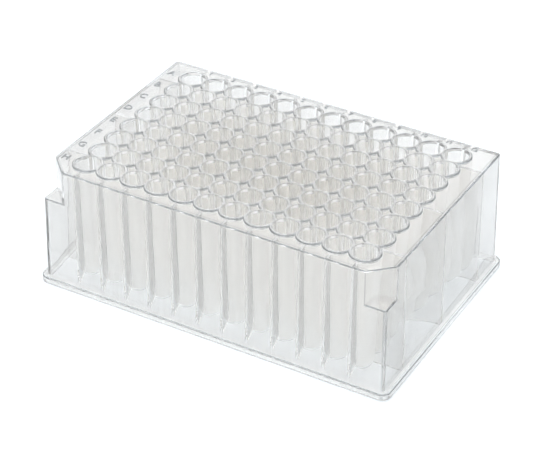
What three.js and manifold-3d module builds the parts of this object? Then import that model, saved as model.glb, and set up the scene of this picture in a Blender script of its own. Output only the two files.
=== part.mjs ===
// Deep-well plate: one injection moulding in natural polypropylene.
// A drafted skirt on a stacking flange, a thin deck, a grid of tapered wells with round
// bottoms whose walls run into their neighbours', and ribs that tie the wells to the skirt.
// Millimetres, +Z up. The origin is the middle of the foot: X runs along the columns'
// numbers, Y towards the lettered first row, and two front corners are cut back.
import * as THREE from 'three';
import { mergeVertices } from 'three/addons/utils/BufferGeometryUtils.js';
import Module from 'manifold-3d';

// ---- driving dimensions ----
const COLUMNS = 12;             // of wells, along X
const ROWS = 8;                 // along Y
const PITCH = 9.0;              // between well axes, both ways
const END_TO_COLUMN = 14.38;    // flange's end face to the axis of the nearest column
const SIDE_TO_ROW = 11.24;      // flange's long face to the axis of the nearest row
const HEIGHT = 43.9;            // table to the top of the well rims
const FLANGE_HEIGHT = 2.3;
const FLANGE_PROUD = 1.95;      // flange outside to the foot of the skirt
const FLANGE_CORNER_R = 3.2;
const FLANGE_WALL = 1.3;        // outer wall of the flange around the stacking recess
const RECESS_DEPTH = 1.1;       // stacking recess under the flange
const SKIRT_WALL = 1.0;
const SKIRT_DRAFT_DEG = 1.0;    // the skirt narrows upwards
const SKIRT_CORNER_R = 1.0;
const DECK_THICKNESS = 1.0;
const RIM_HEIGHT = 0.5;         // well rims above the deck
const RIM_SLOPE = 0.25;         // how far a rim's outer face leans in

const CORNER_CUT = 7.3;         // leg of the cut-back front corners
const LEDGE_DROP = 11.75;       // deck top down to the ledge under a cut corner

const SHARED_WALL = 0.7;        // between two neighbouring bores at the rims
const RIM_WALL = 1.05;          // wall of a well where it leaves the deck
const BORE_DRAFT_DEG = 0.5;     // the wells narrow downwards, inside
const TUBE_DRAFT_DEG = 1.2;     // and more so outside, so the wall thins towards the bottom
const FOOT_GAP = 1.6;           // well bottoms above the table

const RIB_THICKNESS = 0.9;
const RIB_FOOT_Z = 1.9;         // foot of a long wall's rib at the skirt
const RIB_RISE = 4.4;           // how much higher its slanting lower edge meets the well
const END_RIB_FOOT_Z = 1.2;     // level lower edge of an end wall's rib
const END_RIB_EVERY = 3;        // such a rib at every third joint between rows, from the middle

// ---- facets of the round shapes ----
const BORE_SIDES = 8;
const TUBE_SIDES = 8;
const CORNER_STEPS = 2;
const OVERLAP = 0.2;            // how far joined shapes reach into each other

// ---- sizes worked out from them ----
const columnX = (c) => (c - (COLUMNS - 1) / 2) * PITCH;
const rowY = (r) => ((ROWS - 1) / 2 - r) * PITCH;
const lastX = columnX(COLUMNS - 1);
const firstY = rowY(0);
const flangeX = lastX + END_TO_COLUMN;
const flangeY = firstY + SIDE_TO_ROW;

const deckTop = HEIGHT - RIM_HEIGHT;
const deckUnder = deckTop - DECK_THICKNESS;
const ledgeTop = deckTop - LEDGE_DROP;
const skirtSlope = Math.tan(THREE.MathUtils.degToRad(SKIRT_DRAFT_DEG));
const boreSlope = Math.tan(THREE.MathUtils.degToRad(BORE_DRAFT_DEG));
const tubeSlope = Math.tan(THREE.MathUtils.degToRad(TUBE_DRAFT_DEG));
const skirtX = (z) => flangeX - FLANGE_PROUD - skirtSlope * (z - FLANGE_HEIGHT);
const skirtY = (z) => flangeY - FLANGE_PROUD - skirtSlope * (z - FLANGE_HEIGHT);

const boreTopR = (PITCH - SHARED_WALL) / 2;
const boreR = (z) => boreTopR - boreSlope * (HEIGHT - z);
const tubeTopR = boreR(deckTop) + RIM_WALL;
const tubeR = (z) => tubeTopR - tubeSlope * (deckTop - z);
// height of the centre of the round bottom, where its radius is the tube's at that height
const bottomZ = (FOOT_GAP + tubeR(0)) / (1 - tubeSlope);

const wasm = await Module();
wasm.setup();

// A closed three.js geometry as a solid.
function solid(geometry) {
  const bare = geometry.clone();
  bare.deleteAttribute('normal');
  bare.deleteAttribute('uv');
  const merged = mergeVertices(bare, 1e-5);
  const mesh = new wasm.Mesh({
    numProp: 3,
    vertProperties: new Float32Array(merged.attributes.position.array),
    triVerts: new Uint32Array(merged.index.array),
  });
  return new wasm.Manifold(mesh);
}

// A solid as a three.js geometry.
function geometryOf(manifold) {
  const mesh = manifold.getMesh();
  const geometry = new THREE.BufferGeometry();
  geometry.setAttribute('position', new THREE.BufferAttribute(mesh.vertProperties, 3));
  geometry.setIndex(new THREE.BufferAttribute(mesh.triVerts, 1));
  geometry.computeVertexNormals();
  return geometry;
}

// A plan rectangle about the origin, with round corners or with its front corners cut.
function plan(halfX, halfY, cornerR, cut = 0) {
  const shape = new THREE.Shape();
  const front = cut > 0 ? cut : cornerR;
  shape.moveTo(-halfX + front, -halfY);
  shape.lineTo(halfX - front, -halfY);
  if (cut > 0) shape.lineTo(halfX, -halfY + cut);
  else shape.absarc(halfX - cornerR, -halfY + cornerR, cornerR, -Math.PI / 2, 0);
  shape.lineTo(halfX, halfY - cornerR);
  shape.absarc(halfX - cornerR, halfY - cornerR, cornerR, 0, Math.PI / 2);
  shape.lineTo(-halfX + cornerR, halfY);
  shape.absarc(-halfX + cornerR, halfY - cornerR, cornerR, Math.PI / 2, Math.PI);
  shape.lineTo(-halfX, -halfY + front);
  if (cut > 0) shape.lineTo(-halfX + cut, -halfY);
  else shape.absarc(-halfX + cornerR, -halfY + cornerR, cornerR, Math.PI, 1.5 * Math.PI);
  return shape;
}

// That plan drawn up from z0 to z1, narrowing by slope on every side.
function block(shape, z0, z1, slope = 0) {
  const geometry = new THREE.ExtrudeGeometry(shape, {
    depth: z1 - z0,
    bevelEnabled: false,
    curveSegments: CORNER_STEPS,
  });
  geometry.translate(0, 0, z0);
  const position = geometry.attributes.position;
  for (let i = 0; i < position.count; i += 1) {
    const inset = slope * (position.getZ(i) - z0);
    position.setX(i, position.getX(i) - Math.sign(position.getX(i)) * inset);
    position.setY(i, position.getY(i) - Math.sign(position.getY(i)) * inset);
  }
  return solid(geometry);
}

// The skirt's space from z0 to z1, inside its outer faces by inset.
function skirtBlock(z0, z1, inset, cut = 0) {
  const cornerR = Math.max(SKIRT_CORNER_R - inset, OVERLAP);
  // a cut face keeps the wall's thickness when both its neighbours move in by inset
  const leg = cut > 0 ? cut - inset * (2 - Math.SQRT2) : 0;
  return block(plan(skirtX(z0) - inset, skirtY(z0) - inset, cornerR, leg), z0, z1, skirtSlope);
}

// Skirt, deck, ledges and flange, hollow from below.
function makeShell() {
  const lowerBody = skirtBlock(FLANGE_HEIGHT - OVERLAP, ledgeTop, 0);
  const upperBody = skirtBlock(ledgeTop - OVERLAP, deckTop, 0, CORNER_CUT);
  const flange = block(plan(flangeX, flangeY, FLANGE_CORNER_R), 0, FLANGE_HEIGHT);
  const recessR = Math.max(FLANGE_CORNER_R - FLANGE_WALL, OVERLAP);
  const recessPlan = plan(flangeX - FLANGE_WALL, flangeY - FLANGE_WALL, recessR);
  const recess = block(recessPlan, -OVERLAP, RECESS_DEPTH);
  const lowerRoom = skirtBlock(0, ledgeTop - SKIRT_WALL, SKIRT_WALL);
  const upperRoom = skirtBlock(0, deckUnder, SKIRT_WALL, CORNER_CUT);
  const walls = lowerBody.add(upperBody).add(flange);
  return walls.subtract(recess).subtract(lowerRoom).subtract(upperRoom);
}

// A turned shape whose facets hold the same area as the true circle.
function turned(profile, sides) {
  const evenArea = Math.sqrt((2 * Math.PI) / (sides * Math.sin((2 * Math.PI) / sides)));
  const points = profile.map(([r, z]) => new THREE.Vector2(r * evenArea, z));
  const geometry = new THREE.LatheGeometry(points, sides, Math.PI / sides);
  geometry.rotateX(Math.PI / 2);
  return solid(geometry);
}

// Profile of a round bottom of radius r about height z, from its lowest point up.
const roundBottom = (r, z) => [
  [0, z - r],
  [r * Math.sin(Math.PI / 4), z - r * Math.cos(Math.PI / 4)],
  [r, z],
];

// One well's outside, from its round bottom to its rim.
function makeTube() {
  return turned([
    ...roundBottom(tubeR(bottomZ), bottomZ),
    [tubeTopR, deckTop],
    [tubeTopR - RIM_SLOPE, HEIGHT],
    [0, HEIGHT],
  ], TUBE_SIDES);
}

// One well's inside, open above the rim.
function makeBore() {
  return turned([
    ...roundBottom(boreR(bottomZ), bottomZ),
    [boreR(HEIGHT + OVERLAP), HEIGHT + OVERLAP],
    [0, HEIGHT + OVERLAP],
  ], BORE_SIDES);
}

// The same solid at every well.
function atEveryWell(one) {
  const copies = [];
  for (let r = 0; r < ROWS; r += 1) {
    for (let c = 0; c < COLUMNS; c += 1) copies.push(one.translate([columnX(c), rowY(r), 0]));
  }
  return wasm.Manifold.union(copies);
}

// A rib standing along +X under the deck, from x = reach to the wall at x = wall(z). Its lower
// edge is at footZ on the wall and higher by rise at the well.
function ribPlate(reach, wall, footZ, rise) {
  const shape = new THREE.Shape();
  const top = deckUnder + OVERLAP;
  shape.moveTo(wall(footZ) - SKIRT_WALL / 2, footZ);
  shape.lineTo(wall(top) - SKIRT_WALL / 2, top);
  shape.lineTo(reach, top);
  shape.lineTo(reach, footZ + rise);
  const geometry = new THREE.ExtrudeGeometry(shape, { depth: RIB_THICKNESS, bevelEnabled: false });
  geometry.translate(0, 0, -RIB_THICKNESS / 2);
  geometry.rotateX(Math.PI / 2);
  return geometry;
}

// Ribs from the first and last row of wells to the long walls, one at each column.
function makeLongWallRibs() {
  const ribs = [];
  for (const side of [1, -1]) {
    const plate = ribPlate(firstY + boreR(0), skirtY, RIB_FOOT_Z, RIB_RISE);
    plate.rotateZ((side * Math.PI) / 2);
    for (let c = 0; c < COLUMNS; c += 1) ribs.push(solid(plate).translate([columnX(c), 0, 0]));
  }
  return ribs;
}

// Ribs from the end columns to the end walls, between rows.
function makeEndWallRibs() {
  const ribs = [];
  const reach = Math.floor((ROWS / 2 - 1) / END_RIB_EVERY);
  for (const turn of [0, Math.PI]) {
    const plate = ribPlate(lastX, skirtX, END_RIB_FOOT_Z, 0);
    plate.rotateZ(turn);
    for (let j = -reach; j <= reach; j += 1) {
      const joint = j * END_RIB_EVERY + (ROWS % 2) / 2;
      ribs.push(solid(plate).translate([0, joint * PITCH, 0]));
    }
  }
  return ribs;
}

// The whole moulding. The bores are cut last, so nothing reaches into a well.
function makeMoulding() {
  const shapes = [
    makeShell(),
    atEveryWell(makeTube()),
    ...makeLongWallRibs(),
    ...makeEndWallRibs(),
  ];
  return wasm.Manifold.union(shapes).subtract(atEveryWell(makeBore()));
}

const polypropylene = new THREE.MeshStandardMaterial({
  color: 0xdcdddb,
  roughness: 0.35,
  metalness: 0,
});

const object = new THREE.Group();
const wellPlate = new THREE.Mesh(geometryOf(makeMoulding()), polypropylene);
wellPlate.name = 'well_plate';
object.add(wellPlate);

export default object;
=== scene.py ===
from math import atan2, cos, pi, radians, sin, tan

import bmesh
import bpy
import numpy as np
from mathutils import Euler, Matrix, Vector


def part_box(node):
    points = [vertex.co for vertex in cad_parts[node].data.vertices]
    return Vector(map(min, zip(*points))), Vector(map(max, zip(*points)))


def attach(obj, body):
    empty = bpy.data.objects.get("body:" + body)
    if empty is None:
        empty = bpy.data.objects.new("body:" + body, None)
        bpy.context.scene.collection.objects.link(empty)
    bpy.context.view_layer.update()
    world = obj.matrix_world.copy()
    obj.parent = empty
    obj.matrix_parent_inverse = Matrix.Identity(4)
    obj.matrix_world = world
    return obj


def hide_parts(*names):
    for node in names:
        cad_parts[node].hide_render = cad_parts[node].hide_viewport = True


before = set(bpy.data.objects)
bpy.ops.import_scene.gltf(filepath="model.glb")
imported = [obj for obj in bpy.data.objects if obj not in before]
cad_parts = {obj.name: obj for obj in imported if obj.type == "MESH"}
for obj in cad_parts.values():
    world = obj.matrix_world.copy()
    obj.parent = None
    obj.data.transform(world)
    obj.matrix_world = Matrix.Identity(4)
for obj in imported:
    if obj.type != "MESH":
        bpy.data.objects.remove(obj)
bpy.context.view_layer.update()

MM = 0.001

# ---- the plate's sizes ----
FLANGE_X, FLANGE_Y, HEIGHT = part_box("well_plate")[1] / MM
COLUMNS, ROWS = 12, 8
PITCH = 9.0
FLANGE_HEIGHT = 2.3
FLANGE_PROUD = 1.95
FLANGE_CORNER_R = 3.2
FLANGE_WALL = 1.3
RECESS_DEPTH = 1.1
SKIRT_WALL = 1.0
SKIRT_DRAFT = tan(radians(1.0))
SKIRT_CORNER_R = 1.0
ROOM_CORNER_R = 0.4
ROOM_EDGE_R = 0.2
DECK_THICKNESS = 1.0
RIM_HEIGHT = 0.5
CORNER_CUT = 7.3
LEDGE_DROP = 11.75
EDGE_R = 0.3            # the rounding of the outer edges
CUT_LEG = 2 - 2 ** 0.5  # by how much a corner cut's leg shrinks for each mm of inset
CORNER_SHARE = 0.9      # of a rounding's lean, by which the plan's corner radius shrinks
OVERLAP = 0.5           # how far joined shapes reach into each other

DECK_TOP = HEIGHT - RIM_HEIGHT
DECK_UNDER = DECK_TOP - DECK_THICKNESS
LEDGE_TOP = DECK_TOP - LEDGE_DROP

# ---- the wells ----
BORE_TOP_R = 4.15
BORE_DRAFT = tan(radians(0.5))
TUBE_TOP_R = 5.2        # where a well leaves the deck
TUBE_DRAFT = tan(radians(1.2))
FOOT_GAP = 1.6
RIM_STEP = 0.05         # how far a rim stands in from the tube below it
RIM_EDGE_R = 0.35       # rounding of a rim's outer edge
LIP = 0.15              # chamfer of a well's mouth
WELL_SIDES = 40
BOTTOM_STEPS = 6

# ---- the ribs ----
RIB_THICKNESS = 0.9
RIB_FOOT_Z = 1.9
RIB_RISE = 4.4
END_RIB_FOOT_Z = 1.2
END_RIBS = 3
END_RIB_SPACING = 3 * PITCH

# ---- the marks on the deck ----
MARK_HEIGHT = 0.25
LETTER_SIZE = 3.9
NUMBER_SIZE = 2.6
LETTER_X = -58.0
NUMBER_Y = 37.6
NUMBER_SHIFT = 3.4      # from a column's axis to its number
MARK_WELD = 0.002       # points of a letter's outline closer than this are one

SOFT_BELOW = 28         # degrees between two faces that shade as one curve


def skirt_x(z):
    return FLANGE_X - FLANGE_PROUD - SKIRT_DRAFT * (z - FLANGE_HEIGHT)


def skirt_y(z):
    return FLANGE_Y - FLANGE_PROUD - SKIRT_DRAFT * (z - FLANGE_HEIGHT)


def bore_r(z):
    return BORE_TOP_R - BORE_DRAFT * (HEIGHT - z)


def tube_r(z):
    return TUBE_TOP_R - TUBE_DRAFT * (DECK_TOP - z)


# height of the centre of the round bottoms, where their radius is the tube's there
BOTTOM_Z = (FOOT_GAP + tube_r(0)) / (1 - TUBE_DRAFT)
FIRST_ROW_Y = PITCH * (ROWS - 1) / 2
LAST_COLUMN_X = PITCH * (COLUMNS - 1) / 2


# ---- meshes ----
def mesh_object(name, points, faces):
    """An object from points in millimetres and faces that list them."""
    mesh = bpy.data.meshes.new(name)
    mesh.from_pydata([Vector(p) * MM for p in points], [], faces)
    mesh.validate()
    piece = bpy.data.objects.new(name, mesh)
    bpy.context.scene.collection.objects.link(piece)
    return piece


def rounded(corners, radius, steps=4):
    """A closed convex outline through corners, anticlockwise, with an arc at each."""
    outline = []
    for i, corner in enumerate(corners):
        corner = Vector(corner)
        back = (Vector(corners[i - 1]) - corner).normalized()
        ahead = (Vector(corners[(i + 1) % len(corners)]) - corner).normalized()
        half = back.angle(ahead) / 2
        centre = corner + (back + ahead).normalized() * radius / sin(half)
        first = corner + back * radius / tan(half) - centre
        turn = pi - 2 * half
        start = atan2(first.y, first.x)
        for step in range(steps + 1):
            angle = start + turn * step / steps
            outline.append((centre.x + radius * cos(angle), centre.y + radius * sin(angle)))
    return outline


def plan(half_x, half_y, cut=0):
    """Corners of the plate's plan, anticlockwise from the front left."""
    corners = [(half_x, half_y), (-half_x, half_y)]
    if cut:
        return [(-half_x, -half_y + cut), (-half_x + cut, -half_y), (half_x - cut, -half_y),
                (half_x, -half_y + cut)] + corners
    return [(-half_x, -half_y), (half_x, -half_y)] + corners


def lofted(name, sections):
    """A closed solid through (outline, z) sections that have as many points each."""
    count = len(sections[0][0])
    points = [(x, y, z) for outline, z in sections for x, y in outline]
    faces = [tuple(reversed(range(count)))]
    for level in range(len(sections) - 1):
        for i in range(count):
            a, b = level * count + i, level * count + (i + 1) % count
            faces.append((a, b, b + count, a + count))
    faces.append(tuple(range(len(points) - count, len(points))))
    return mesh_object(name, points, faces)


def turned(name, profile, sides):
    """A closed solid of revolution; profile runs up from the axis to the axis."""
    points = [(0, 0, profile[0][1])]
    rings = profile[1:-1]
    for r, z in rings:
        points += [(r * cos(2 * pi * i / sides), r * sin(2 * pi * i / sides), z)
                   for i in range(sides)]
    points.append((0, 0, profile[-1][1]))
    top = len(points) - 1
    faces = []
    for i in range(sides):
        j = (i + 1) % sides
        faces.append((0, 1 + j, 1 + i))
        for level in range(len(rings) - 1):
            base = 1 + level * sides
            faces.append((base + i, base + j, base + sides + j, base + sides + i))
        last = 1 + (len(rings) - 1) * sides
        faces.append((last + i, last + j, top))
    return mesh_object(name, points, faces)


def quarter(steps):
    """Sines and one less cosines of the steps of a quarter turn."""
    return [(sin(pi / 2 * s / steps), 1 - cos(pi / 2 * s / steps)) for s in range(steps + 1)]


def skirt_block(name, low, high, inset=0.0, cut=0.0, corner_r=SKIRT_CORNER_R, edge_r=EDGE_R):
    """The skirt's form from low to high, in from its outer faces, with a rounded top edge."""
    leg = cut - inset * CUT_LEG if cut else 0
    levels = [(low, 0.0)] + [(high - edge_r + edge_r * rise, edge_r * lean)
                             for rise, lean in quarter(3)]
    sections = []
    for z, lean in levels:
        x, y = skirt_x(z) - inset - lean, skirt_y(z) - inset - lean
        shrink = leg - lean * CUT_LEG if cut else 0
        sections.append((rounded(plan(x, y, shrink), corner_r - lean * CORNER_SHARE), z))
    return lofted(name, sections)


def flange_block():
    """The stacking flange, rounded along its outer edges."""
    levels = [(EDGE_R * (1 - rise), EDGE_R * lean) for rise, lean in reversed(quarter(3))]
    levels += [(FLANGE_HEIGHT - z, lean) for z, lean in reversed(levels)]
    sections = [(rounded(plan(FLANGE_X - lean, FLANGE_Y - lean), FLANGE_CORNER_R - lean, 8), z)
                for z, lean in levels]
    return lofted("flange", sections)


def recess_block():
    """The room under the flange that the rims of a plate below go into."""
    outline = rounded(plan(FLANGE_X - FLANGE_WALL, FLANGE_Y - FLANGE_WALL),
                      FLANGE_CORNER_R - FLANGE_WALL, 8)
    return lofted("recess", [(outline, -OVERLAP), (outline, RECESS_DEPTH)])


def round_bottom(radius):
    """Profile of a hemisphere about BOTTOM_Z, from its lowest point to its rim."""
    angles = [pi / 2 * s / BOTTOM_STEPS for s in range(BOTTOM_STEPS + 1)]
    return [(radius * sin(a), BOTTOM_Z - radius * cos(a)) for a in angles]


def tube():
    """A well's outside, with its rim's rounded edge."""
    rim = [(TUBE_TOP_R - RIM_STEP - RIM_EDGE_R * lean, HEIGHT - RIM_EDGE_R + RIM_EDGE_R * rise)
           for rise, lean in quarter(3)]
    profile = round_bottom(tube_r(BOTTOM_Z)) + [(TUBE_TOP_R, DECK_TOP)] + rim + [(0, HEIGHT)]
    return turned("tube", profile, WELL_SIDES)


def bore():
    """A well's inside, chamfered at the mouth and open above it."""
    profile = round_bottom(bore_r(BOTTOM_Z)) + [
        (bore_r(HEIGHT - LIP), HEIGHT - LIP),
        (BORE_TOP_R + LIP, HEIGHT),
        (BORE_TOP_R + LIP + OVERLAP, HEIGHT + OVERLAP),
        (0, HEIGHT + OVERLAP),
    ]
    return turned("bore", profile, WELL_SIDES)


def rib(name, reach, wall, foot_z, rise):
    """A rib along +X from reach to the wall, under the deck; its lower edge rises inwards."""
    top = DECK_UNDER + OVERLAP
    side = [(reach, foot_z + rise), (wall(foot_z) - SKIRT_WALL / 2, foot_z),
            (wall(top) - SKIRT_WALL / 2, top), (reach, top)]
    half = RIB_THICKNESS / 2
    points = [(x, -half, z) for x, z in side] + [(x, half, z) for x, z in side]
    faces = [(0, 1, 2, 3), (7, 6, 5, 4), (0, 4, 5, 1), (1, 5, 6, 2), (2, 6, 7, 3), (3, 7, 4, 0)]
    return mesh_object(name, points, faces)


def mark(text, x, y, size):
    """A raised letter or number on the deck, centred on x, y."""
    curve = bpy.data.curves.new("mark_" + text, "FONT")
    curve.body = text
    curve.size = size * MM
    curve.align_x = "CENTER"
    curve.align_y = "CENTER"
    curve.resolution_u = 3
    curve.extrude = MARK_HEIGHT * MM
    letter = bpy.data.objects.new("mark_" + text, curve)
    bpy.context.scene.collection.objects.link(letter)
    bpy.context.view_layer.update()
    evaluated = letter.evaluated_get(bpy.context.evaluated_depsgraph_get())
    mesh = bpy.data.meshes.new_from_object(evaluated)
    bpy.data.objects.remove(letter)
    closed = bmesh.new()
    closed.from_mesh(mesh)
    bmesh.ops.remove_doubles(closed, verts=closed.verts, dist=MARK_WELD * MM)
    bmesh.ops.translate(closed, verts=closed.verts, vec=Vector((x, y, DECK_TOP)) * MM)
    closed.to_mesh(mesh)
    closed.free()
    piece = bpy.data.objects.new("mark_" + text, mesh)
    bpy.context.scene.collection.objects.link(piece)
    return piece


# ---- node trees ----
def add(tree, kind, inputs=None, **settings):
    """Adds a node with its settings, and fills its sockets with values or links to them."""
    node = tree.nodes.new(kind)
    for name, value in settings.items():
        setattr(node, name, value)
    for key, value in (inputs or {}).items():
        for item in value if isinstance(value, list) else [value]:
            if isinstance(item, bpy.types.NodeSocket):
                tree.links.new(item, node.inputs[key])
            else:
                node.inputs[key].default_value = item
    return node


MOULDING_INPUTS = [
    ("Blocks", "NodeSocketCollection"),
    ("Rooms", "NodeSocketCollection"),
    ("Marks", "NodeSocketCollection"),
    ("Tube", "NodeSocketObject"),
    ("Bore", "NodeSocketObject"),
    ("Side rib", "NodeSocketObject"),
    ("End rib", "NodeSocketObject"),
    ("Columns", "NodeSocketInt"),
    ("Rows", "NodeSocketInt"),
    ("Grid length", "NodeSocketFloat"),
    ("Grid width", "NodeSocketFloat"),
    ("End ribs", "NodeSocketInt"),
    ("End ribs width", "NodeSocketFloat"),
    ("Material", "NodeSocketMaterial"),
]


def moulding_tree():
    """Joins the blocks less their rooms with the tubes, ribs and marks, and cuts the bores."""
    tree = bpy.data.node_groups.new("moulding", "GeometryNodeTree")
    tree.interface.new_socket("Geometry", in_out="INPUT", socket_type="NodeSocketGeometry")
    for name, kind in MOULDING_INPUTS:
        tree.interface.new_socket(name, in_out="INPUT", socket_type=kind)
    tree.interface.new_socket("Geometry", in_out="OUTPUT", socket_type="NodeSocketGeometry")
    size = add(tree, "NodeGroupInput").outputs

    wells = add(tree, "GeometryNodeMeshGrid", {
        "Size X": size["Grid length"], "Size Y": size["Grid width"],
        "Vertices X": size["Columns"], "Vertices Y": size["Rows"]}).outputs["Mesh"]
    across = add(tree, "GeometryNodeMeshGrid", {
        "Size X": size["Grid length"], "Size Y": 0.0,
        "Vertices X": size["Columns"], "Vertices Y": 1}).outputs["Mesh"]
    along = add(tree, "GeometryNodeMeshGrid", {
        "Size X": 0.0, "Size Y": size["End ribs width"],
        "Vertices X": 1, "Vertices Y": size["End ribs"]}).outputs["Mesh"]

    blocks, rooms, marks = (
        add(tree, "GeometryNodeCollectionInfo",
            {"Collection": size[name], "Separate Children": True}).outputs[0]
        for name in ("Blocks", "Rooms", "Marks"))
    placed = {}
    for name, points in (("Tube", wells), ("Bore", wells), ("Side rib", across),
                         ("End rib", along)):
        shape = add(tree, "GeometryNodeObjectInfo", {"Object": size[name]}).outputs["Geometry"]
        placed[name] = add(tree, "GeometryNodeInstanceOnPoints",
                           {"Points": points, "Instance": shape}).outputs[0]
    far_ribs = [add(tree, "GeometryNodeTransform", {
        "Geometry": placed[name], "Rotation": Euler((0, 0, pi))}).outputs[0]
        for name in ("Side rib", "End rib")]

    block = add(tree, "GeometryNodeMeshBoolean", {"Mesh 2": blocks},
                operation="UNION", solver="MANIFOLD").outputs["Mesh"]
    shell = add(tree, "GeometryNodeMeshBoolean", {"Mesh 1": block, "Mesh 2": rooms},
                operation="DIFFERENCE", solver="MANIFOLD").outputs["Mesh"]
    parts = [shell, placed["Tube"], marks, placed["Side rib"], placed["End rib"]] + far_ribs
    joined = add(tree, "GeometryNodeMeshBoolean", {"Mesh 2": parts},
                 operation="UNION", solver="MANIFOLD").outputs["Mesh"]
    cut = add(tree, "GeometryNodeMeshBoolean", {"Mesh 1": joined, "Mesh 2": placed["Bore"]},
              operation="DIFFERENCE", solver="MANIFOLD").outputs["Mesh"]

    whole = add(tree, "GeometryNodeRealizeInstances", {"Geometry": cut}).outputs[0]
    angle = add(tree, "GeometryNodeInputMeshEdgeAngle").outputs["Unsigned Angle"]
    soft = add(tree, "FunctionNodeCompare", {"A": angle, "B": radians(SOFT_BELOW)},
               operation="LESS_THAN").outputs[0]
    faces = add(tree, "GeometryNodeSetShadeSmooth", {"Geometry": whole, "Shade Smooth": True},
                domain="FACE").outputs[0]
    edges = add(tree, "GeometryNodeSetShadeSmooth", {"Geometry": faces, "Shade Smooth": soft},
                domain="EDGE").outputs[0]
    painted = add(tree, "GeometryNodeSetMaterial",
                  {"Geometry": edges, "Material": size["Material"]}).outputs[0]
    add(tree, "NodeGroupOutput", {"Geometry": painted})
    return tree


def collection_of(name, pieces):
    group = bpy.data.collections.new(name)
    for piece in pieces:
        group.objects.link(piece)
    return group


FLAT_WITHIN = 9.0       # degrees off its plane at which a face is part of a rounding
LEVEL_SLOPE = 0.2       # rise of the normal above which a rounding faces up
NEAR_WELL = 0.2         # how far outside its tube a face still belongs to a well
RIM_DEPTH = RIM_EDGE_R + 0.1
ABOVE_DECK = 0.02
# Painted shade, as shares of the darker tint: dark outlines on edges, rims and marks, lighter ones
# on corners, and painted shade on ribs and end walls.
EDGE_SHADE = RIM_SHADE = MARK_SHADE = 1.0
CORNER_SHADE = RIB_SHADE = 0.4
END_SHADE = 0.18


def note_shade(mesh):
    """Notes on each face its painted shade, how much darker than a flat clear wall it is tinted:
    fully on the edges, rims and marks, as painted dark outlines that stand in for light led away
    along the wall, less on corners, as lighter painted outlines, and on ribs and end walls, as
    painted shade where they face away from the light. The first row that fits a face counts."""
    normal, centre = np.empty((2, 3 * len(mesh.polygons)))
    mesh.polygons.foreach_get("normal", normal)
    mesh.polygons.foreach_get("center", centre)
    normal, centre = normal.reshape(-1, 3), centre.reshape(-1, 3) / MM
    upward = normal[:, 2] > LEVEL_SLOPE
    upright = np.abs(normal[:, 2]) < LEVEL_SLOPE
    normal = np.abs(normal)
    last = np.array((LAST_COLUMN_X, FIRST_ROW_Y))
    axis = np.clip((np.floor(centre[:, :2] / PITCH) + 0.5) * PITCH, -last, last)
    well = np.hypot(*(centre[:, :2] - axis).T) < TUBE_TOP_R + NEAR_WELL
    flats = np.array([(1, 0, 0), (0, 1, 0), (0, 0, 1), (cos(pi / 4), cos(pi / 4), 0)])
    rounding = (normal @ flats.T).max(axis=1) < cos(radians(FLAT_WITHIN))
    facing_end = normal[:, 0] > cos(radians(FLAT_WITHIN))
    shades = [
        (well & rounding & (centre[:, 2] > HEIGHT - RIM_DEPTH), RIM_SHADE),
        (well, 0.0),
        (centre[:, 2] > DECK_TOP + ABOVE_DECK, MARK_SHADE),
        (rounding & upward, EDGE_SHADE),
        (rounding & upright, CORNER_SHADE),
        (facing_end & (np.abs(centre[:, 0]) < LAST_COLUMN_X + RIB_THICKNESS), RIB_SHADE),
        (facing_end, END_SHADE),
    ]
    shade = np.select(*zip(*shades), 0.0).astype(np.float32)
    mesh.attributes.new("shade", "FLOAT", "FACE").data.foreach_set("value", shade)


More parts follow.
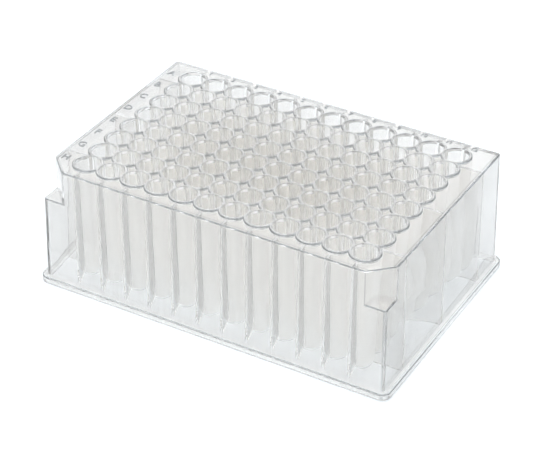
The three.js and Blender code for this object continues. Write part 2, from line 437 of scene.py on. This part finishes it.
def make_plate(material):
    """The whole moulding as one closed mesh."""
    blocks = [
        skirt_block("lower_block", FLANGE_HEIGHT - OVERLAP, LEDGE_TOP),
        skirt_block("upper_block", LEDGE_TOP - OVERLAP, DECK_TOP, cut=CORNER_CUT),
        flange_block(),
    ]
    rooms = [
        skirt_block("lower_room", -OVERLAP, LEDGE_TOP - SKIRT_WALL, SKIRT_WALL,
                    corner_r=ROOM_CORNER_R, edge_r=ROOM_EDGE_R),
        skirt_block("upper_room", -OVERLAP, DECK_UNDER, SKIRT_WALL, CORNER_CUT,
                    corner_r=ROOM_CORNER_R, edge_r=ROOM_EDGE_R),
        recess_block(),
    ]
    marks = [mark("ABCDEFGH"[r], LETTER_X, FIRST_ROW_Y - PITCH * r, LETTER_SIZE)
             for r in range(ROWS)]
    marks += [mark(str(c + 1), PITCH * c - LAST_COLUMN_X + NUMBER_SHIFT, NUMBER_Y, NUMBER_SIZE)
              for c in range(COLUMNS)]
    side_rib = rib("side_rib", FIRST_ROW_Y + bore_r(0), skirt_y, RIB_FOOT_Z, RIB_RISE)
    for vertex in side_rib.data.vertices:
        vertex.co = Vector((-vertex.co.y, vertex.co.x, vertex.co.z))
    end_rib = rib("end_rib", LAST_COLUMN_X, skirt_x, END_RIB_FOOT_Z, 0)
    well_tube, well_bore = tube(), bore()
    tools = blocks + rooms + marks + [well_tube, well_bore, side_rib, end_rib]
    values = {
        "Blocks": collection_of("blocks", blocks),
        "Rooms": collection_of("rooms", rooms),
        "Marks": collection_of("marks", marks),
        "Tube": well_tube,
        "Bore": well_bore,
        "Side rib": side_rib,
        "End rib": end_rib,
        "Columns": COLUMNS,
        "Rows": ROWS,
        "Grid length": 2 * LAST_COLUMN_X * MM,
        "Grid width": 2 * FIRST_ROW_Y * MM,
        "End ribs": END_RIBS,
        "End ribs width": (END_RIBS - 1) * END_RIB_SPACING * MM,
        "Material": material,
    }
    maker = mesh_object("moulding_maker", [(0, 0, 0)], [])
    modifier = maker.modifiers.new("moulding", "NODES")
    modifier.node_group = moulding_tree()
    for item in modifier.node_group.interface.items_tree:
        if item.in_out == "INPUT" and item.name in values:
            modifier[item.identifier] = values[item.name]
    bpy.context.view_layer.update()
    evaluated = maker.evaluated_get(bpy.context.evaluated_depsgraph_get())
    mesh = bpy.data.meshes.new_from_object(evaluated)
    mesh.name = "moulded_plate"
    note_shade(mesh)
    plate = bpy.data.objects.new("moulded_plate", mesh)
    bpy.context.scene.collection.objects.link(plate)
    for tool in tools + [maker]:
        bpy.data.objects.remove(tool)
    return plate


# ---- materials ----
WELL_CLEAR, PLATE_CLEAR = "#ffffff", "#f5f4f3"      # what one wall leaves of the light
WELL_MILK, PLATE_MILK = "#fffefc", "#fdfcfa"        # what its skin sends back as milk
MILK_SHARE = (0.14, 0.18)                           # of a polished skin, between its streaks
TUBE_MILK = 0.5                                     # of the duller outside of a well
FOOT_MILK, FOOT_RISE = 0.85, 3.0                    # of its cloudy foot, and the foot's height
PAINTED_SHADE_TINT = "#8e9498"                             # painted shade: the darker tint a wall leaves of the light where its shade is 1
PAINTED_EDGE_LINES = ((0.0, 1.0), (0.45, 0.0), (0.95, 0.8), (1.25, 0.0))    # painted dark lines on the deck: mm from the edge, shade
LINES_END = 2.0                                     # mm from the edge
TOP_SKIN = 0.05                                     # mm under the deck's top that belong to it
ROUGHNESS = (0.02, 0.04)                            # of moulded polypropylene, polished
PP_IOR = 1.49
DEPTH_COLOUR, DEPTH_DENSITY = "#8b8985", 2.0        # per metre of plastic
TUBE_EDGE = (0.05, 0.15)                            # mm outside a tube where its skin ends
BORE_EDGE = (-0.5, -0.3)                            # mm within it, between its two skins
# Draw marks that the polished steel leaves up the walls. The real ones are too fine to show,
# so they are drawn as coarse as they need to be.
STREAK_WIDTH, STREAK_LENGTH = 1.2, 30.0
STREAK_DEPTH = 0.006
FLOW_MARK = 7.0                                     # mm across a patch of duller skin
NOISE_RANGE = (0.3, 0.7)                            # where most of a noise's values lie


def linear(colour):
    """An sRGB hex colour, such as "#d8dad8", as linear red, green, blue and alpha."""
    parts = [int(colour[i:i + 2], 16) / 255 for i in (1, 3, 5)]
    return (*(p / 12.92 if p <= 0.04045 else ((p + 0.055) / 1.055) ** 2.4 for p in parts), 1)


def new_material(name):
    material = bpy.data.materials.new(name)
    material.use_nodes = True
    material.node_tree.nodes.clear()
    return material, material.node_tree


def well_distance(tree):
    """How far a point is outside the wells' outer walls, in metres, or within them if negative."""
    place = add(tree, "ShaderNodeTexCoord").outputs["Object"]
    half = PITCH / 2 * MM
    last = Vector((LAST_COLUMN_X, FIRST_ROW_Y, 0)) * MM
    cell = add(tree, "ShaderNodeVectorMath", {0: place, 1: (PITCH * MM,) * 3},
               operation="SNAP").outputs[0]
    axis = add(tree, "ShaderNodeVectorMath", {0: cell, 1: (half,) * 3},
               operation="ADD").outputs[0]
    axis = add(tree, "ShaderNodeVectorMath", {0: axis, 1: last},
               operation="MINIMUM").outputs[0]
    axis = add(tree, "ShaderNodeVectorMath", {0: axis, 1: -last},
               operation="MAXIMUM").outputs[0]
    level = add(tree, "ShaderNodeVectorMath", {0: place, 1: (1, 1, 0)},
                operation="MULTIPLY").outputs[0]
    reach = add(tree, "ShaderNodeVectorMath", {0: level, 1: axis},
                operation="DISTANCE").outputs["Value"]
    height = add(tree, "ShaderNodeSeparateXYZ", {0: place}).outputs["Z"]
    wall = add(tree, "ShaderNodeMath", {0: height, 1: TUBE_DRAFT, 2: tube_r(0) * MM},
               operation="MULTIPLY_ADD").outputs[0]
    return add(tree, "ShaderNodeMath", {0: reach, 1: wall}, operation="SUBTRACT").outputs[0]


def painted_deck_lines(tree):
    """Painted dark lines around the top of the deck, which stand in for the skirt's wall showing
    through it.
    """
    place = add(tree, "ShaderNodeTexCoord").outputs["Object"]
    across = add(tree, "ShaderNodeVectorMath", {0: place}, operation="ABSOLUTE").outputs[0]
    corner = Vector((skirt_x(DECK_TOP), skirt_y(DECK_TOP), DECK_TOP - TOP_SKIN)) * MM
    inwards = add(tree, "ShaderNodeVectorMath", {0: corner, 1: across},
                  operation="SUBTRACT").outputs[0]
    apart = add(tree, "ShaderNodeSeparateXYZ", {0: inwards})
    nearest = add(tree, "ShaderNodeMath", {0: apart.outputs["X"], 1: apart.outputs["Y"]},
                  operation="MINIMUM").outputs[0]
    along = add(tree, "ShaderNodeMath", {0: nearest, 1: LINES_END * MM},
                operation="DIVIDE").outputs[0]
    lines = add(tree, "ShaderNodeValToRGB", {0: along})
    ramp = lines.color_ramp
    ramp.interpolation = "CONSTANT"
    while len(ramp.elements) < len(PAINTED_EDGE_LINES):
        ramp.elements.new(0.5)
    for stop, (inside, strength) in zip(ramp.elements, PAINTED_EDGE_LINES):
        stop.position, stop.color = inside / LINES_END, (strength,) * 3 + (1,)
    on_top = add(tree, "ShaderNodeMath", {0: apart.outputs["Z"], 1: 0.0},
                 operation="LESS_THAN").outputs[0]
    return add(tree, "ShaderNodeMath", {0: lines.outputs[0], 1: on_top},
               operation="MULTIPLY").outputs[0]


def natural_polypropylene():
    """Unpigmented polypropylene, moulded against polished steel. Each skin sends a little light
    back as milk and lets the rest through, so one wall is nearly clear and a block of wells is
    white. The wells' outsides are duller and milkier, and show as soft white tubes behind the
    clear skirt. Milk is met from outside only: from within, the light of a total
    reflection would be lost. The edges are thin dark lines of painted shade, a darker tint by the
    shade that the faces carry and by the painted deck lines."""
    material, tree = new_material("natural_polypropylene")
    place = add(tree, "ShaderNodeTexCoord").outputs["Object"]
    drawn = add(tree, "ShaderNodeMapping", {"Vector": place, "Scale": Vector(
        (1 / STREAK_WIDTH, 1 / STREAK_WIDTH, 1 / STREAK_LENGTH)) / MM}).outputs[0]
    streaks = add(tree, "ShaderNodeTexNoise", {
        "Vector": drawn, "Scale": 1.0, "Detail": 0.0}).outputs[0]
    flow = add(tree, "ShaderNodeTexNoise", {
        "Vector": place, "Scale": 1 / (FLOW_MARK * MM), "Detail": 0.0}).outputs[0]
    relief = add(tree, "ShaderNodeBump", {
        "Strength": 1.0, "Distance": STREAK_DEPTH * MM, "Height": streaks}).outputs[0]
    sheen = add(tree, "ShaderNodeMapRange", {
        "Value": flow, "From Min": NOISE_RANGE[0], "From Max": NOISE_RANGE[1],
        "To Min": ROUGHNESS[0], "To Max": ROUGHNESS[1]}).outputs[0]

    outwards = well_distance(tree)
    plate = add(tree, "ShaderNodeMapRange", {
        "Value": outwards, "From Min": TUBE_EDGE[0] * MM,
        "From Max": TUBE_EDGE[1] * MM}).outputs[0]
    tint, tone = (add(tree, "ShaderNodeMix", {0: plate, 6: linear(well), 7: linear(rest)},
                      data_type="RGBA").outputs[2]
                  for well, rest in ((WELL_CLEAR, PLATE_CLEAR), (WELL_MILK, PLATE_MILK)))
    # painted shade: the faces' shade and the painted deck lines darken the clear tint towards a
    # grey one
    shade = add(tree, "ShaderNodeAttribute", {}, attribute_name="shade").outputs["Fac"]
    shade = add(tree, "ShaderNodeMath", {0: shade, 1: painted_deck_lines(tree)},
                operation="MAXIMUM").outputs[0]
    tint = add(tree, "ShaderNodeMix", {0: shade, 6: tint, 7: linear(PAINTED_SHADE_TINT)},
               data_type="RGBA").outputs[2]
    clear = add(tree, "ShaderNodeBsdfPrincipled", {
        "Base Color": tint, "IOR": PP_IOR, "Roughness": sheen, "Transmission Weight": 1.0,
        "Normal": relief})
    milk = add(tree, "ShaderNodeBsdfDiffuse", {"Color": tone, "Normal": relief})
    skin = add(tree, "ShaderNodeMapRange", {
        "Value": streaks, "From Min": NOISE_RANGE[0], "From Max": NOISE_RANGE[1],
        "To Min": MILK_SHARE[0], "To Max": MILK_SHARE[1]}).outputs[0]
    height = add(tree, "ShaderNodeSeparateXYZ", {0: place}).outputs["Z"]
    tube_skin = add(tree, "ShaderNodeMapRange", {
        "Value": height, "From Min": (FOOT_GAP + FOOT_RISE) * MM, "From Max": FOOT_GAP * MM,
        "To Min": TUBE_MILK, "To Max": FOOT_MILK}).outputs[0]
    well_skin = add(tree, "ShaderNodeMapRange", {
        "Value": outwards, "From Min": BORE_EDGE[0] * MM, "From Max": BORE_EDGE[1] * MM,
        "To Min": skin, "To Max": tube_skin}).outputs[0]
    skin = add(tree, "ShaderNodeMapRange", {"Value": plate, "To Min": well_skin,
                                            "To Max": skin}).outputs[0]
    inside = add(tree, "ShaderNodeNewGeometry").outputs["Backfacing"]
    outside = add(tree, "ShaderNodeMath", {0: 1.0, 1: inside}, operation="SUBTRACT").outputs[0]
    share = add(tree, "ShaderNodeMath", {0: skin, 1: outside}, operation="MULTIPLY").outputs[0]
    # where the painted shade is full, the skin sends back no milk
    share = add(tree, "ShaderNodeMapRange", {"Value": shade, "To Min": share,
                                             "To Max": 0.0}).outputs[0]
    surface = add(tree, "ShaderNodeMixShader", {
        0: share, 1: clear.outputs[0], 2: milk.outputs[0]})
    depth = add(tree, "ShaderNodeVolumeAbsorption", {
        "Color": linear(DEPTH_COLOUR), "Density": DEPTH_DENSITY})
    add(tree, "ShaderNodeOutputMaterial", {"Surface": surface.outputs[0],
                                           "Volume": depth.outputs[0]})
    return material


def white_floor():
    """Matt white sweep with a cool cast in its shadows, which shows a little lighter than it
    lights what stands on it."""
    material, tree = new_material("white_sweep")
    paint = add(tree, "ShaderNodeBsdfDiffuse", {"Color": linear(FLOOR_COLOUR)})
    path = add(tree, "ShaderNodeLightPath").outputs
    seen = add(tree, "ShaderNodeMath", {0: path["Is Camera Ray"], 1: path["Is Glossy Ray"]},
               operation="ADD").outputs[0]
    seen = add(tree, "ShaderNodeMath", {0: seen, 1: path["Is Transmission Ray"]},
               operation="ADD", use_clamp=True).outputs[0]
    glow = add(tree, "ShaderNodeMath", {0: seen, 1: FLOOR_GLOW}, operation="MULTIPLY").outputs[0]
    light = add(tree, "ShaderNodeEmission", {"Color": linear("#ffffff"), "Strength": glow})
    both = add(tree, "ShaderNodeAddShader", {0: paint.outputs[0], 1: light.outputs[0]})
    add(tree, "ShaderNodeOutputMaterial", {"Surface": both.outputs[0]})
    return material


# ---- studio ----
AIM = (0.0, -1.8, 19.6)
AZIMUTH, ELEVATION, ROLL = 29.79, 33.70, 0.17
DISTANCE = 615.3
LENS, SENSOR = 126.4, 36.0
CLIP = (0.01, 20.0)     # m
BOUNCES = 60            # light crosses many thin walls before it leaves the wells
DIFFUSE_BOUNCES = 16
ROOM_LIGHT = 0.03       # the dark walls between the backdrop and the lamps
LAMPS = [               # way to a large soft lamp, degrees from it to its edge and full part
    ((0.0, -0.1, 1.0), (52, 42), 2.0),
    ((-0.413, 0.722, 0.555), (28, 12), 1.0),
    ((0.4, -0.9, 0.2), (45, 20), 0.3),
]
BACKDROP_TOP = (5, 12)  # degrees above the floor where the white backdrop starts to end, and ends
FLOOR_COLOUR = "#f0f5f9"
FLOOR_GLOW = 0.1        # what the floor adds where it is looked at, straight or through plastic
FLOOR_HALF, FLOOR_DROP = 6000, 0.2


def make_camera():
    data = bpy.data.cameras.new("camera")
    data.lens = LENS
    data.sensor_width = SENSOR
    data.sensor_fit = "HORIZONTAL"
    data.clip_start, data.clip_end = CLIP
    camera = bpy.data.objects.new("camera", data)
    bpy.context.scene.collection.objects.link(camera)
    a, e = radians(AZIMUTH), radians(ELEVATION)
    back = Vector((sin(a) * cos(e), -cos(a) * cos(e), sin(e)))
    camera.location = (Vector(AIM) + back * DISTANCE) * MM
    turn = (-back).to_track_quat("-Z", "Y")
    camera.rotation_mode = "QUATERNION"
    camera.rotation_quaternion = turn @ Euler((0, 0, radians(ROLL))).to_quaternion()
    bpy.context.scene.camera = camera


def make_floor():
    corners = [(x * FLOOR_HALF, y * FLOOR_HALF, -FLOOR_DROP)
               for x, y in ((-1, -1), (1, -1), (1, 1), (-1, 1))]
    floor = mesh_object("floor", corners, [(0, 1, 2, 3)])
    floor.data.materials.append(white_floor())


def make_world():
    """A room with its light overhead and dark walls above a low white backdrop."""
    world = bpy.data.worlds.new("studio")
    bpy.context.scene.world = world
    world.use_nodes = True
    tree = world.node_tree
    tree.nodes.clear()
    way = add(tree, "ShaderNodeTexCoord").outputs["Generated"]
    rise = add(tree, "ShaderNodeSeparateXYZ", {0: way}).outputs["Z"]
    level = add(tree, "ShaderNodeMapRange", {
        "Value": rise, "From Min": sin(radians(BACKDROP_TOP[0])),
        "From Max": sin(radians(BACKDROP_TOP[1])), "To Min": 1.0,
        "To Max": ROOM_LIGHT}, interpolation_type="SMOOTHSTEP").outputs[0]
    for aim, (edge, full), light in LAMPS:
        toward = add(tree, "ShaderNodeVectorMath", {0: way, 1: Vector(aim).normalized()},
                     operation="DOT_PRODUCT").outputs["Value"]
        glow = add(tree, "ShaderNodeMapRange", {
            "Value": toward, "From Min": cos(radians(edge)), "From Max": cos(radians(full)),
            "To Min": 0.0, "To Max": light}, interpolation_type="SMOOTHSTEP").outputs[0]
        level = add(tree, "ShaderNodeMath", {0: level, 1: glow}, operation="ADD").outputs[0]
    room = add(tree, "ShaderNodeBackground", {"Color": linear("#ffffff"), "Strength": level})
    add(tree, "ShaderNodeOutputWorld", {"Surface": room.outputs[0]})


plate = make_plate(natural_polypropylene())
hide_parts("well_plate")
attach(plate, "root")

make_camera()
make_floor()
make_world()
scene = bpy.context.scene
scene.view_settings.view_transform = "Standard"
scene.cycles.max_bounces = BOUNCES
scene.cycles.blur_glossy = 0.0
scene.cycles.transmission_bounces = BOUNCES
scene.cycles.glossy_bounces = BOUNCES
scene.cycles.diffuse_bounces = DIFFUSE_BOUNCES
